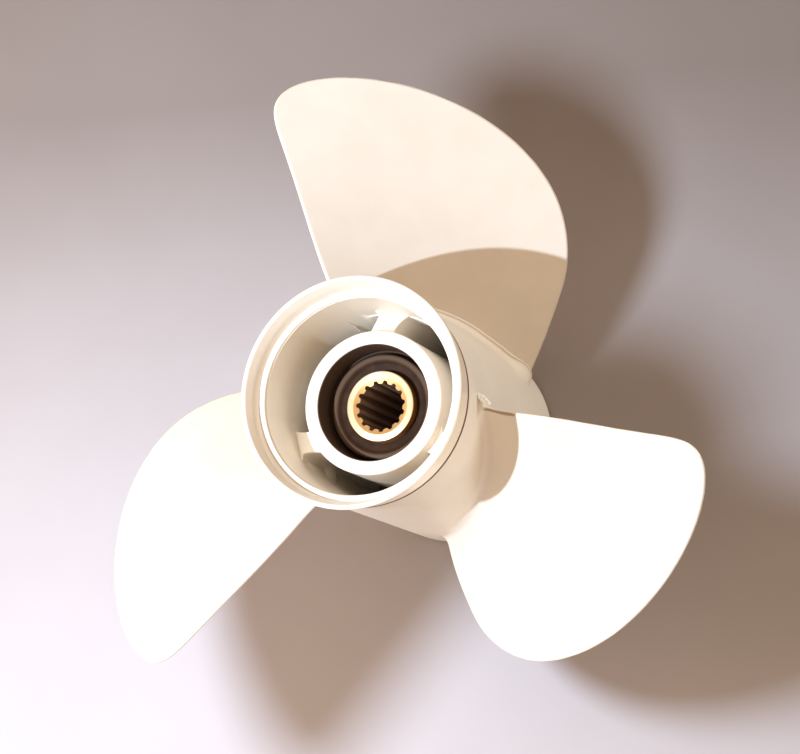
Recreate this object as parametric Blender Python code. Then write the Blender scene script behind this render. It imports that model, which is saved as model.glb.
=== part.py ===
"""Three-blade boat propeller with the engine's exhaust led out through its hub.

Metres, +Z along the shaft towards the stern. The shaft's axis is the Z axis,
and the hub's forward face lies in the plane z = 0, where the propeller stands.
"""

import math

import bmesh
import bpy
import numpy as np

MM = 0.001
GAP = 0.3 * MM

# Hub, from the forward face to the flared rim
HUB_LENGTH = 153 * MM
BARREL_RADIUS = 53 * MM
BARREL_BORE = 48.3 * MM
BARREL_NECK_BORE = 46.4 * MM
BARREL_NECK_HEIGHT = 110 * MM
BARREL_EDGE_RADIUS = 2.5 * MM

# Flared ring at the aft end
RING_LENGTH = 20.6 * MM
RIM_RADIUS = 57 * MM
RIM_BORE = 54.4 * MM
RIM_ROUNDING = 0.9 * MM
LEDGE_DEPTH = 10 * MM
LEDGE_OUTER_RADIUS = 51.5 * MM
LEDGE_INNER_RADIUS = 48.6 * MM
RING_GROOVE_WIDTH = 0.8 * MM
RING_GROOVE_DEPTH = 0.8 * MM

# Inner hub, which holds the rubber bush
INNER_HUB_BOTTOM = 10 * MM
INNER_HUB_TOP = HUB_LENGTH - 29.6 * MM
INNER_HUB_RADIUS = 35.5 * MM
INNER_HUB_BORE = 29.1 * MM
INNER_HUB_EDGE_RADIUS = 2 * MM

# Ribs between the inner hub and the barrel: one side tapers outwards, the other flares
RIB_COUNT = 3
RIB_FIRST_ANGLE = math.radians(102)
RIB_TAPERED_SIDE = 5.6 * MM
RIB_TAPER = 3.4 * MM
RIB_FLARED_SIDE = 6.5 * MM
RIB_FLARE = 7 * MM
RIB_FILLET = 2 * MM
RIB_BOTTOM = 12 * MM
RIB_INNER_TOP = 116.5 * MM
RIB_OUTER_TOP = 112 * MM

# Rubber bush
BUSH_RADIUS = INNER_HUB_BORE - GAP
BUSH_BOTTOM = 16 * MM
BUSH_LIP_TOP = HUB_LENGTH - 41.8 * MM
BUSH_LIP_RADIUS = 24.9 * MM
BUSH_LIP_WIDTH = 2.8 * MM
BUSH_GROOVE_DEPTH = 6 * MM
BUSH_DISH_DEPTH = 1.6 * MM

# Brass sleeve with the splines that fit the shaft
SLEEVE_RADIUS = 17.6 * MM
SLEEVE_BOTTOM = 7 * MM
SLEEVE_TOP = HUB_LENGTH - 39.7 * MM
SLEEVE_CHAMFER = 0.5 * MM
SLEEVE_MOUTH_RADIUS = 14.2 * MM
SLEEVE_MOUTH_DEPTH = 1.5 * MM
SPLINE_COUNT = 15
SPLINE_MAJOR_RADIUS = 12.8 * MM
SPLINE_MINOR_RADIUS = 11.5 * MM
SPLINE_FIRST_ANGLE = math.radians(93.3)

# Blades: a right-handed helical face, raked towards the stern
BLADE_COUNT = 3
BLADE_FIRST_ANGLE = math.radians(90)
BLADE_PITCH = 409 * MM
BLADE_RAKE = 0.19
BLADE_FACE_HEIGHT = HUB_LENGTH - 74.7 * MM
BLADE_FACE_RADIUS = 100 * MM
BLADE_ROOT_RADIUS = BARREL_RADIUS + GAP
BLADE_EDGE_HALF = 1.2 * MM
BLADE_ROOT_BULGE = 6.5 * MM
BLADE_TIP_BULGE = 1.6 * MM
BLADE_FILLET = 7 * MM
# Radius (mm) and angle (degrees) round the edge: trailing root, tip, leading root
BLADE_EDGE = [
    (53.3, 42.5), (58, 39.4), (66, 37.9), (80, 37.1), (114, 35.3), (143, 34.4),
    (162.5, 33.3), (171.3, 28.9), (171.3, 20.5), (165.1, 8.6), (154.1, -5.3),
    (135.9, -19.4), (110.3, -29.3), (87.2, -34.3), (60.7, -40.8), (53.3, -43.5),
]
BLADE_TIP_STATION = 7.4

TURNED_STEPS = 72
SMOOTH_ANGLE = math.radians(35)

CAST_PAINT = {"color": (0.86, 0.80, 0.70), "roughness": 0.3, "metallic": 0.0}
RUBBER = {"color": (0.03, 0.022, 0.02), "roughness": 0.55, "metallic": 0.0}
BRASS = {"color": (0.86, 0.58, 0.25), "roughness": 0.3, "metallic": 1.0}


def clear_scene():
    for obj in list(bpy.data.objects):
        bpy.data.objects.remove(obj, do_unlink=True)


def make_material(name, color, roughness, metallic):
    material = bpy.data.materials.new(name)
    material.use_nodes = True
    shader = material.node_tree.nodes["Principled BSDF"]
    shader.inputs["Base Color"].default_value = (*color, 1)
    shader.inputs["Roughness"].default_value = roughness
    shader.inputs["Metallic"].default_value = metallic
    return material


def add_object(name, bm, finish):
    """Turn a bmesh into a named object with its own material, round faces shaded smooth."""
    bmesh.ops.recalc_face_normals(bm, faces=bm.faces)
    mesh = bpy.data.meshes.new(name)
    bm.to_mesh(mesh)
    bm.free()
    mesh.shade_smooth()
    mesh.set_sharp_from_angle(angle=SMOOTH_ANGLE)
    mesh.materials.append(make_material(name, **finish))
    obj = bpy.data.objects.new(name, mesh)
    bpy.context.scene.collection.objects.link(obj)
    return obj


def arc(centre_r, centre_z, radius, start_degrees, end_degrees, steps):
    """Points of a profile's rounded corner, from one angle to the other."""
    angles = np.radians(np.linspace(start_degrees, end_degrees, steps + 1))
    return [(centre_r + radius * math.cos(a), centre_z + radius * math.sin(a)) for a in angles]


def turned(name, profile, finish):
    """A closed profile of (radius, height) points, spun once round the shaft's axis."""
    bm = bmesh.new()
    verts = [bm.verts.new((r, 0, z)) for r, z in profile]
    edges = [bm.edges.new((a, b)) for a, b in zip(verts, verts[1:] + verts[:1])]
    bmesh.ops.spin(
        bm,
        geom=verts + edges,
        cent=(0, 0, 0),
        axis=(0, 0, 1),
        angle=2 * math.pi,
        steps=TURNED_STEPS,
        use_merge=True,
    )
    return add_object(name, bm, finish)


def make_flare_ring():
    top = HUB_LENGTH
    bottom = top - RING_LENGTH
    neck = BARREL_RADIUS - RING_GROOVE_DEPTH
    groove_top = bottom + RING_GROOVE_WIDTH - GAP
    ledge = top - LEDGE_DEPTH
    rounding = RIM_ROUNDING
    profile = arc(RIM_RADIUS - rounding, top - rounding, rounding, 90, 0, 3)
    profile += [(BARREL_RADIUS, groove_top), (neck, groove_top), (neck, bottom)]
    profile += [(LEDGE_INNER_RADIUS, bottom), (LEDGE_INNER_RADIUS, ledge)]
    profile += [(LEDGE_OUTER_RADIUS, ledge)]
    profile += [(LEDGE_OUTER_RADIUS + 1.1 * MM, ledge + LEDGE_DEPTH / 2)]
    profile += arc(RIM_BORE + rounding, top - rounding, rounding, 180, 90, 3)
    return turned("flare_ring", profile, CAST_PAINT)


def bore_radius(height):
    """The bore draws in from the forward face to the neck where the ribs end."""
    return BARREL_BORE + (BARREL_NECK_BORE - BARREL_BORE) * height / BARREL_NECK_HEIGHT


def make_hub_barrel():
    top = HUB_LENGTH - RING_LENGTH - GAP
    edge = BARREL_EDGE_RADIUS
    profile = [(BARREL_RADIUS, top)]
    profile += arc(BARREL_RADIUS - edge, edge, edge, 0, -90, 4)
    profile += [(BARREL_BORE + 0.5 * MM, 0), (bore_radius(0.5 * MM), 0.5 * MM)]
    profile += [(BARREL_NECK_BORE, BARREL_NECK_HEIGHT), (BARREL_BORE, BARREL_NECK_HEIGHT)]
    profile += [(BARREL_BORE, top)]
    return turned("hub_barrel", profile, CAST_PAINT)


def make_inner_hub():
    edge = INNER_HUB_EDGE_RADIUS
    outer = INNER_HUB_RADIUS
    profile = arc(outer - edge, INNER_HUB_TOP - edge, edge, 90, 0, 3)
    profile += [(outer, INNER_HUB_BOTTOM + 1 * MM), (outer - 1 * MM, INNER_HUB_BOTTOM)]
    profile += [(INNER_HUB_BORE, INNER_HUB_BOTTOM), (INNER_HUB_BORE, INNER_HUB_TOP)]
    return turned("inner_hub", profile, CAST_PAINT)


def fillet_rise(distance, radius):
    """How far a quarter-circle fillet stands out, at a distance from the wall it grows from."""
    share = np.clip(1 - distance / radius, 0, 1)
    return radius * (1 - np.sqrt(1 - share ** 2))


def rib_outline(outer, points=8):
    """A rib's section across the shaft, as (distance from the axis, turn) from end to end."""
    inner = INNER_HUB_RADIUS + GAP
    share = (1 - np.cos(np.linspace(0, math.pi, points + 1))) / 2
    radius = inner + share * (outer - inner)
    fillet = fillet_rise(radius - inner, RIB_FILLET)
    tapered = RIB_TAPERED_SIDE - RIB_TAPER * share + fillet
    tapered += fillet_rise(outer - radius, RIB_FILLET)
    flared = RIB_FLARED_SIDE + RIB_FLARE * share ** 1.5 + fillet
    left = np.arcsin(tapered / radius)
    right = -np.arcsin(flared / radius)
    outline = list(zip(radius, left))
    outline += [(outer, turn) for turn in np.linspace(left[-1], right[-1], 5)[1:-1]]
    outline += list(zip(radius, right))[::-1]
    outline += [(inner, turn) for turn in np.linspace(right[0], left[0], 5)[1:-1]]
    return outline


def make_rib(number, angle):
    """A lengthwise web that follows the bore's draft, its aft face sloping down outwards."""
    inner = INNER_HUB_RADIUS + GAP
    slope = (RIB_INNER_TOP - RIB_OUTER_TOP) / (BARREL_NECK_BORE - inner)
    bm = bmesh.new()
    loops = []
    for height, falls in ((RIB_BOTTOM, 0), (RIB_INNER_TOP, slope)):
        loop = []
        for radius, turn in rib_outline(bore_radius(min(height, BARREL_NECK_HEIGHT)) - GAP):
            x = radius * math.cos(angle + turn)
            y = radius * math.sin(angle + turn)
            z = height - falls * (radius * math.cos(turn) - inner)
            loop.append(bm.verts.new((x, y, z)))
        loops.append(loop)
        bm.faces.new(loop)
    low, high = loops
    for i, vert in enumerate(low):
        following = (i + 1) % len(low)
        bm.faces.new((vert, low[following], high[following], high[i]))
    return add_object(f"rib_{number}", bm, CAST_PAINT)


def make_rubber_bush():
    sleeve = SLEEVE_RADIUS + GAP
    lip_outer = BUSH_LIP_RADIUS + BUSH_LIP_WIDTH / 2
    lip_inner = BUSH_LIP_RADIUS - BUSH_LIP_WIDTH / 2
    top = BUSH_LIP_TOP
    profile = [(BUSH_RADIUS, top - BUSH_GROOVE_DEPTH)]
    profile += [(BUSH_RADIUS, BUSH_BOTTOM), (sleeve, BUSH_BOTTOM)]
    profile += [(sleeve, top - 1.5 * BUSH_DISH_DEPTH), (sleeve + 1.5 * MM, top - BUSH_DISH_DEPTH)]
    profile += [(lip_inner - 2 * MM, top - BUSH_DISH_DEPTH), (lip_inner, top - 0.4 * MM)]
    profile += [(BUSH_LIP_RADIUS, top), (lip_outer, top - 0.6 * MM)]
    profile += [(lip_outer, top - BUSH_GROOVE_DEPTH)]
    return turned("rubber_bush", profile, RUBBER)


def spline_outline():
    """The bore's toothed outline: rounded grooves cut outwards between square-topped teeth."""
    pitch = 2 * math.pi / SPLINE_COUNT
    depth = SPLINE_MAJOR_RADIUS - SPLINE_MINOR_RADIUS
    points = []
    for tooth in range(SPLINE_COUNT):
        middle = SPLINE_FIRST_ANGLE + tooth * pitch
        for turn, rise in ((-0.27, 0), (-0.19, 0.75), (0, 1), (0.19, 0.75), (0.27, 0), (0.5, 0)):
            points.append((SPLINE_MINOR_RADIUS + rise * depth, middle + turn * pitch))
    return points


def make_spline_sleeve():
    """Rings of points round the axis, bridged in turn: outside down, then up the splined bore."""
    outline = spline_outline()
    turns = [turn for _, turn in outline]
    plain = [
        (SLEEVE_MOUTH_RADIUS, SLEEVE_TOP),
        (SLEEVE_RADIUS - SLEEVE_CHAMFER, SLEEVE_TOP),
        (SLEEVE_RADIUS, SLEEVE_TOP - SLEEVE_CHAMFER),
        (SLEEVE_RADIUS, SLEEVE_BOTTOM + SLEEVE_CHAMFER),
        (SLEEVE_RADIUS - SLEEVE_CHAMFER, SLEEVE_BOTTOM),
        (SLEEVE_MOUTH_RADIUS, SLEEVE_BOTTOM),
    ]
    rings = [[(radius, height)] * len(turns) for radius, height in plain]
    for height in (SLEEVE_BOTTOM + SLEEVE_MOUTH_DEPTH, SLEEVE_TOP - SLEEVE_MOUTH_DEPTH):
        rings.append([(radius, height) for radius, _ in outline])
    bm = bmesh.new()
    loops = []
    for ring in rings:
        loops.append([
            bm.verts.new((r * math.cos(turn), r * math.sin(turn), z))
            for (r, z), turn in zip(ring, turns)
        ])
    for loop, following in zip(loops, loops[1:] + loops[:1]):
        for i in range(len(turns)):
            j = (i + 1) % len(turns)
            bm.faces.new((loop[i], loop[j], following[j], following[i]))
    return add_object("spline_sleeve", bm, BRASS)


def through_stations(values, at):
    """A natural cubic spline through evenly numbered stations, read at the given places."""
    values = np.asarray(values, float)
    count = len(values)
    system = np.eye(count)
    bend = np.zeros(count)
    for i in range(1, count - 1):
        system[i, i - 1:i + 2] = (1, 4, 1)
        bend[i] = 6 * (values[i - 1] - 2 * values[i] + values[i + 1])
    curvature = np.linalg.solve(system, bend)
    left = np.clip(np.floor(at).astype(int), 0, count - 2)
    b = at - left
    a = 1 - b
    line = a * values[left] + b * values[left + 1]
    curve = (a ** 3 - a) * curvature[left] + (b ** 3 - b) * curvature[left + 1]
    return line + curve / 6


def blade_edge(at):
    """Radius and angle of the blade's edge at places numbered along its stations."""
    radius = through_stations([r for r, _ in BLADE_EDGE], at) * MM
    angle = np.radians(through_stations([a for _, a in BLADE_EDGE], at))
    return np.maximum(radius, BLADE_ROOT_RADIUS), angle


def helical_height(radius, angle):
    """Height of the blade's driving face: pitch round the axis, rake away from it."""
    rise = BLADE_PITCH * angle / (2 * math.pi)
    return BLADE_FACE_HEIGHT + rise + BLADE_RAKE * (radius - BLADE_FACE_RADIUS)


def place(radius, angle, height):
    return np.stack((radius * np.cos(angle), radius * np.sin(angle), height), axis=-1)


def blade_grid(rows, columns):
    """Radius and angle of points on the blade, each row running from trailing to leading edge.

    Rows crowd towards the tip and points crowd towards both edges, where the surface turns.
    """
    up = np.sin(np.linspace(0, math.pi / 2, rows + 1))
    across = (1 - np.cos(np.linspace(0, math.pi, columns + 1))) / 2
    last = len(BLADE_EDGE) - 1
    trailing_r, trailing_a = blade_edge(up * BLADE_TIP_STATION)
    leading_r, leading_a = blade_edge(last - up * (last - BLADE_TIP_STATION))
    radius = trailing_r[:, None] + (leading_r - trailing_r)[:, None] * across
    angle = trailing_a[:, None] + (leading_a - trailing_a)[:, None] * across
    return radius, angle, across


def blade_surfaces(rows, columns):
    """The driving face and the rounded back of a blade, as two grids that share their edge."""
    radius, angle, across = blade_grid(rows, columns)
    middle = place(radius, angle, helical_height(radius, angle))
    edge_r, edge_a = blade_edge(np.linspace(0, len(BLADE_EDGE) - 1, 400))
    edge = place(edge_r, edge_a, helical_height(edge_r, edge_a))
    inset = np.sqrt(((middle[:, :, None] - edge) ** 2).sum(-1).min(-1))
    inset[-1] = inset[:, 0] = inset[:, -1] = 0

    corner = BLADE_EDGE_HALF + fillet_rise(radius - BLADE_ROOT_RADIUS, BLADE_FILLET)
    rounding = np.sqrt(1 - (1 - np.clip(inset / corner, 0, 1)) ** 2)

    outward = (radius - BLADE_ROOT_RADIUS) / (BLADE_EDGE[7][0] * MM - BLADE_ROOT_RADIUS)
    bulge = BLADE_ROOT_BULGE + (BLADE_TIP_BULGE - BLADE_ROOT_BULGE) * outward
    bulge = bulge * np.sin(math.pi * across) ** 0.9
    face_side = corner * rounding
    back_side = corner * rounding + bulge * np.clip(inset / (8 * MM), 0, 1)

    slope = np.arctan2(BLADE_PITCH / (2 * math.pi), radius)
    sides = []
    for offset in (face_side, -back_side):
        turned_angle = angle - offset * np.sin(slope) / radius
        height = helical_height(radius, angle) + offset * np.cos(slope)
        sides.append((radius, turned_angle, height))
    return sides


def make_blade(number, blade_angle, rows=20, columns=20, root_steps=4):
    """Face, back and a root that follows the barrel, joined into one closed body."""
    face, back = blade_surfaces(rows, columns)
    bm = bmesh.new()

    def grid_verts(side):
        radius, angle, height = side
        return [
            [bm.verts.new(co) for co in row]
            for row in place(radius, angle + blade_angle, height)
        ]

    front, rear = grid_verts(face), grid_verts(back)
    for grid in (front, rear):
        for low, high in zip(grid, grid[1:]):
            for i in range(columns):
                bm.faces.new((low[i], low[i + 1], high[i + 1], high[i]))

    layers = [front[0]]
    for step in range(1, root_steps):
        share = step / root_steps
        angle = face[1][0] * (1 - share) + back[1][0] * share
        height = face[2][0] * (1 - share) + back[2][0] * share
        layer = place(face[0][0], angle + blade_angle, height)
        layers.append([bm.verts.new(co) for co in layer])
    layers.append(rear[0])
    for near, far in zip(layers, layers[1:]):
        for i in range(columns):
            bm.faces.new((near[i], near[i + 1], far[i + 1], far[i]))

    bmesh.ops.remove_doubles(bm, verts=bm.verts, dist=0.002 * MM)
    bmesh.ops.dissolve_degenerate(bm, edges=bm.edges, dist=0.001 * MM)
    return add_object(f"blade_{number}", bm, CAST_PAINT)


clear_scene()
make_flare_ring()
make_hub_barrel()
make_inner_hub()
for rib in range(RIB_COUNT):
    make_rib(rib + 1, RIB_FIRST_ANGLE + rib * 2 * math.pi / RIB_COUNT)
make_rubber_bush()
make_spline_sleeve()
for blade in range(BLADE_COUNT):
    make_blade(blade + 1, BLADE_FIRST_ANGLE + blade * 2 * math.pi / BLADE_COUNT)
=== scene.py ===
import math

import bmesh
import bpy
import numpy as np
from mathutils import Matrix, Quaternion, Vector


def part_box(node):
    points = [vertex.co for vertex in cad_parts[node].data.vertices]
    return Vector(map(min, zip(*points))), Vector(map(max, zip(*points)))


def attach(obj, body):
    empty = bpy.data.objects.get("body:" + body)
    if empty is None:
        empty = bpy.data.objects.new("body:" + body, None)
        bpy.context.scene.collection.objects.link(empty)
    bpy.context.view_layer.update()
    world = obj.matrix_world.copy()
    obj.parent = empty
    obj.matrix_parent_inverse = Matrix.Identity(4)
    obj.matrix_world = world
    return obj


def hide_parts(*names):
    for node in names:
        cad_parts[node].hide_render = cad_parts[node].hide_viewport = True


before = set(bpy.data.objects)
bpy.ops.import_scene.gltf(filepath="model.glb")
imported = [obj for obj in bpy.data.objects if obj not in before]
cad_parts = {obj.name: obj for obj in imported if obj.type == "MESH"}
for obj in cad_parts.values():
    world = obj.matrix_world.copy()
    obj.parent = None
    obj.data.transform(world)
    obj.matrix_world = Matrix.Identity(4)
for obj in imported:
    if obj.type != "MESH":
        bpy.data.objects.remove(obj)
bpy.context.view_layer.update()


# Camera
# It looks down on the hub's stern end from about 1.2 m, through a short telephoto lens, and is
# turned on its axis so that the first blade stands upright in the picture.
CAMERA_PLACE = (0.4642, -0.1061, 1.1723)
CAMERA_AIM = (-0.0033, 0.0186, 0.0900)
CAMERA_ROLL = math.radians(-62.63)
CAMERA_LENS = 106.48
CAMERA_SENSOR = 36
CAMERA_REACH = (0.05, 50)

camera_data = bpy.data.cameras.new("camera")
camera_data.sensor_width = CAMERA_SENSOR
camera_data.lens = CAMERA_LENS
camera_data.clip_start, camera_data.clip_end = CAMERA_REACH
camera = bpy.data.objects.new("camera", camera_data)
bpy.context.scene.collection.objects.link(camera)
camera.location = CAMERA_PLACE
sight = Vector(CAMERA_AIM) - Vector(CAMERA_PLACE)
camera.rotation_mode = "QUATERNION"
camera.rotation_quaternion = sight.to_track_quat("-Z", "Y") @ Quaternion((0, 0, 1), CAMERA_ROLL)
bpy.context.scene.camera = camera


# Studio light
# One small lamp hangs close by on the left and gives the piece its crisp shadows. A large soft one
# under it lights the floor alone. A window on the same side and the pale warm room fill the shade,
# and three soft panels, on the right, low down and overhead, lift a few pieces out of it.
LAMP_COLOUR = (0.68, 0.81, 1.0)
KEY_LAMP_PLACE = (-0.163, -0.192, 0.700)
KEY_LAMP_RADIUS = 0.006
KEY_LAMP_WATTS = 21.8
FLOOR_LAMP_PLACE = (-0.206, -0.018, 0.510)
FLOOR_LAMP_RADIUS = 0.08
FLOOR_LAMP_WATTS = 19.0
ROOM_COLOUR = (0.613, 0.463, 0.339)
ROOM_STRENGTH = 1.0
WINDOW_PLACE = (-0.95, -0.15, 0.38)
WINDOW_SIDE = 0.8
WINDOW_WATTS = 7.0
WINDOW_COLOUR = (1.0, 0.82, 0.72)
PANEL_SIDE = 0.35
PANEL_PLACE = (0.60, 0.56, 0.36)
PANEL_WATTS = 2.6
PANEL_COLOUR = (0.92, 0.98, 1.0)
LOW_PANEL_PLACE = (0.886, -0.120, 0.110)
LOW_PANEL_WATTS = 2.7
LOW_PANEL_COLOUR = (1.0, 0.92, 0.78)
TOP_PANEL_PLACE = (0.0, 0.0, 0.90)
TOP_PANEL_WATTS = 2.7


def round_lamp(name, place, radius, watts):
    """A lamp that shines all round it."""
    data = bpy.data.lights.new(name, "POINT")
    data.energy = watts
    data.color = LAMP_COLOUR
    data.shadow_soft_size = radius
    light = bpy.data.objects.new(name, data)
    light.location = place
    bpy.context.scene.collection.objects.link(light)
    return light


def square_light(name, place, side, watts, colour):
    """A square light that faces the origin."""
    data = bpy.data.lights.new(name, "AREA")
    data.energy = watts
    data.color = colour
    data.size = side
    light = bpy.data.objects.new(name, data)
    light.location = place
    light.rotation_mode = "QUATERNION"
    light.rotation_quaternion = (-Vector(place)).to_track_quat("-Z", "Y")
    bpy.context.scene.collection.objects.link(light)
    return light


def panel_light(name, place, watts, colour):
    """A soft panel, which lights only the pieces that are linked to the collection it returns."""
    lit = bpy.data.collections.new(f"lit_by_{name}")
    panel = square_light(name, place, PANEL_SIDE, watts, colour)
    panel.light_linking.receiver_collection = lit
    return lit


key_lamp = round_lamp("key_lamp", KEY_LAMP_PLACE, KEY_LAMP_RADIUS, KEY_LAMP_WATTS)
floor_lamp = round_lamp("floor_lamp", FLOOR_LAMP_PLACE, FLOOR_LAMP_RADIUS, FLOOR_LAMP_WATTS)
square_light("window", WINDOW_PLACE, WINDOW_SIDE, WINDOW_WATTS, WINDOW_COLOUR)
lit_by_panel = panel_light("panel", PANEL_PLACE, PANEL_WATTS, PANEL_COLOUR)
lit_by_low_panel = panel_light("low_panel", LOW_PANEL_PLACE, LOW_PANEL_WATTS, LOW_PANEL_COLOUR)
lit_by_top_panel = panel_light("top_panel", TOP_PANEL_PLACE, TOP_PANEL_WATTS, PANEL_COLOUR)

world = bpy.data.worlds.new("studio_room")
bpy.context.scene.world = world
world.use_nodes = True
background = world.node_tree.nodes["Background"]
background.inputs["Color"].default_value = (*ROOM_COLOUR, 1)
background.inputs["Strength"].default_value = ROOM_STRENGTH
bpy.context.scene.view_settings.view_transform = "Standard"


# Studio floor
# A wide disc of matt paper, with a slight mottle, which isn't part of the object. It is painted
# paler in front of the object than behind, a painted falloff of the lamps' light.
FLOOR_RADIUS = 6.0
FLOOR_RINGS = 25
FLOOR_SPOKES = 96
FLOOR_HEIGHT = -0.0003
SHADED_FLOOR_COLOURS = ((0.200, 0.165, 0.145), (0.210, 0.175, 0.155))
LIT_FLOOR_COLOURS = ((0.59, 0.55, 0.56), (0.61, 0.57, 0.58))
# The way to the front, and where along it the painted falloff of light begins and ends, the paper
# growing paler towards the front
FLOOR_LIGHT_ANGLE = math.radians(282)
FLOOR_LIGHT_FADE = (-0.20, 0.24)
FLOOR_MOTTLE = 9
FLOOR_ROUGHNESS = 0.9
MOTTLE_DETAIL = 3.0
MOTTLE_ROUGHNESS = 0.55
MOTTLE_RANGE = (0.35, 0.65)
MERGE_DISTANCE = 1e-6
SLIVER_LENGTH = 1e-7


def place_polar(radius, angle, height):
    """Points from their distance from the shaft's axis, their angle round it and their height."""
    x, y, z = np.broadcast_arrays(radius * np.cos(angle), radius * np.sin(angle), height)
    return np.stack((x, y, z), axis=-1)


def mesh_piece(name, points, close_rows=False, close_columns=False):
    """Quads between neighbouring points of a grid (rows, columns, xyz).

    The last row can be joined to the first, and the last column to the first. Points that
    coincide, as at a pole, are merged, and the faces are turned outwards.
    """
    rows, columns = points.shape[:2]
    index = np.arange(rows * columns).reshape(rows, columns)
    if close_rows:
        index = np.concatenate([index, index[:1]], axis=0)
    if close_columns:
        index = np.concatenate([index, index[:, :1]], axis=1)
    corners = (index[:-1, :-1], index[:-1, 1:], index[1:, 1:], index[1:, :-1])
    quads = np.stack(corners, axis=-1).reshape(-1, 4)
    mesh = bpy.data.meshes.new(name)
    mesh.vertices.add(rows * columns)
    mesh.vertices.foreach_set("co", points.reshape(-1))
    mesh.loops.add(quads.size)
    mesh.loops.foreach_set("vertex_index", quads.reshape(-1))
    mesh.polygons.add(len(quads))
    mesh.polygons.foreach_set("loop_start", np.arange(0, quads.size, 4))
    mesh.update(calc_edges=True)
    bm = bmesh.new()
    bm.from_mesh(mesh)
    bmesh.ops.remove_doubles(bm, verts=bm.verts, dist=MERGE_DISTANCE)
    bmesh.ops.dissolve_degenerate(bm, edges=bm.edges, dist=SLIVER_LENGTH)
    bmesh.ops.recalc_face_normals(bm, faces=bm.faces)
    bm.to_mesh(mesh)
    bm.free()
    mesh.shade_smooth()
    piece = bpy.data.objects.new(name, mesh)
    bpy.context.scene.collection.objects.link(piece)
    return piece


def add_node(material, kind, inputs=None, **settings):
    """A shader node whose inputs are constants, or are linked from other nodes' sockets."""
    tree = material.node_tree
    node = tree.nodes.new(kind)
    for key, value in settings.items():
        setattr(node, key, value)
    for key, value in (inputs or {}).items():
        if isinstance(value, bpy.types.NodeSocket):
            tree.links.new(value, node.inputs[key])
        else:
            node.inputs[key].default_value = value
    return node


def new_material(name):
    """A material with its Principled shader and the object's own coordinates, in metres."""
    material = bpy.data.materials.new(name)
    material.use_nodes = True
    shader = material.node_tree.nodes["Principled BSDF"]
    place = add_node(material, "ShaderNodeTexCoord").outputs["Object"]
    return material, shader, place


def share_between(material, value, zero_at, one_at):
    """A value's place between two limits, as a share from nought to one."""
    inputs = {"Value": value, "From Min": zero_at, "From Max": one_at}
    return add_node(material, "ShaderNodeMapRange", inputs).outputs["Result"]


def blended(material, share, first, second):
    """Two colours, constants or sockets, mixed by a share."""
    mix = add_node(material, "ShaderNodeMix", {"Factor": share}, data_type="RGBA")
    for slot, colour in (("A", first), ("B", second)):
        if isinstance(colour, bpy.types.NodeSocket):
            material.node_tree.links.new(colour, mix.inputs[slot])
        else:
            mix.inputs[slot].default_value = (*colour, 1)
    return mix.outputs["Result"]


def mottled(material, place, spots, colours):
    """A soft noise at so many spots a metre, blended between two colours."""
    inputs = {
        "Vector": place,
        "Scale": spots,
        "Detail": MOTTLE_DETAIL,
        "Roughness": MOTTLE_ROUGHNESS,
    }
    noise = add_node(material, "ShaderNodeTexNoise", inputs).outputs["Fac"]
    return blended(material, share_between(material, noise, *MOTTLE_RANGE), *colours)


floor_radius = FLOOR_RADIUS * np.linspace(0, 1, FLOOR_RINGS)[:, None] ** 2
floor_turn = np.linspace(0, 2 * math.pi, FLOOR_SPOKES, endpoint=False)
floor_points = place_polar(floor_radius, floor_turn, FLOOR_HEIGHT)
floor = mesh_piece("studio_floor", floor_points, close_columns=True)
floor_material, floor_shader, floor_place = new_material("floor_paper")
floor_ahead = add_node(
    floor_material,
    "ShaderNodeVectorMath",
    {0: floor_place, 1: (math.cos(FLOOR_LIGHT_ANGLE), math.sin(FLOOR_LIGHT_ANGLE), 0)},
    operation="DOT_PRODUCT",
)
# Painted falloff of light: the paper blends from its darker colours behind to its paler ones in
# front
floor_colour = blended(
    floor_material,
    share_between(floor_material, floor_ahead.outputs["Value"], *FLOOR_LIGHT_FADE),
    mottled(floor_material, floor_place, FLOOR_MOTTLE, SHADED_FLOOR_COLOURS),
    mottled(floor_material, floor_place, FLOOR_MOTTLE, LIT_FLOOR_COLOURS),
)
floor_material.node_tree.links.new(floor_colour, floor_shader.inputs["Base Color"])
floor_shader.inputs["Roughness"].default_value = FLOOR_ROUGHNESS
floor.data.materials.append(floor_material)

only_floor = bpy.data.collections.new("lit_by_floor_lamp")
only_floor.objects.link(floor)
floor_lamp.light_linking.receiver_collection = only_floor
not_floor = bpy.data.collections.new("lit_by_key_lamp")
not_floor.objects.link(floor)
key_lamp.light_linking.receiver_collection = not_floor
not_floor.collection_objects[0].light_linking.link_state = "EXCLUDE"


# Flared ring
# The stern end of the casting: a flaring band with a rounded rim, hollowed inside down to a flat
# ledge. It is turned all over, then painted with the rest, and a fine groove parts it from the
# barrel.
MM = 0.001
ring_low, ring_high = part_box("flare_ring")
HUB_TOP = ring_high[2]
RIM_RADIUS = ring_high[0]
BARREL_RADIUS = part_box("hub_barrel")[1][0]
RING_BOTTOM = ring_low[2]
RIM_BORE = 54.6 * MM
RIM_ROUNDING = 1.0 * MM
# The band's waist on the outside, and its hollow on the inside
WAIST_RADIUS = BARREL_RADIUS + 1.9 * MM
WAIST_HEIGHT = HUB_TOP - 10 * MM
WAIST_ROUNDING = 30 * MM
LEDGE_HEIGHT = HUB_TOP - 10 * MM
LEDGE_OUTER_RADIUS = 51.5 * MM
LEDGE_INNER_RADIUS = 48.6 * MM
HOLLOW_RADIUS = LEDGE_OUTER_RADIUS + 1.0 * MM
HOLLOW_HEIGHT = LEDGE_HEIGHT + 5 * MM
HOLLOW_ROUNDING = 12 * MM
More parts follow.
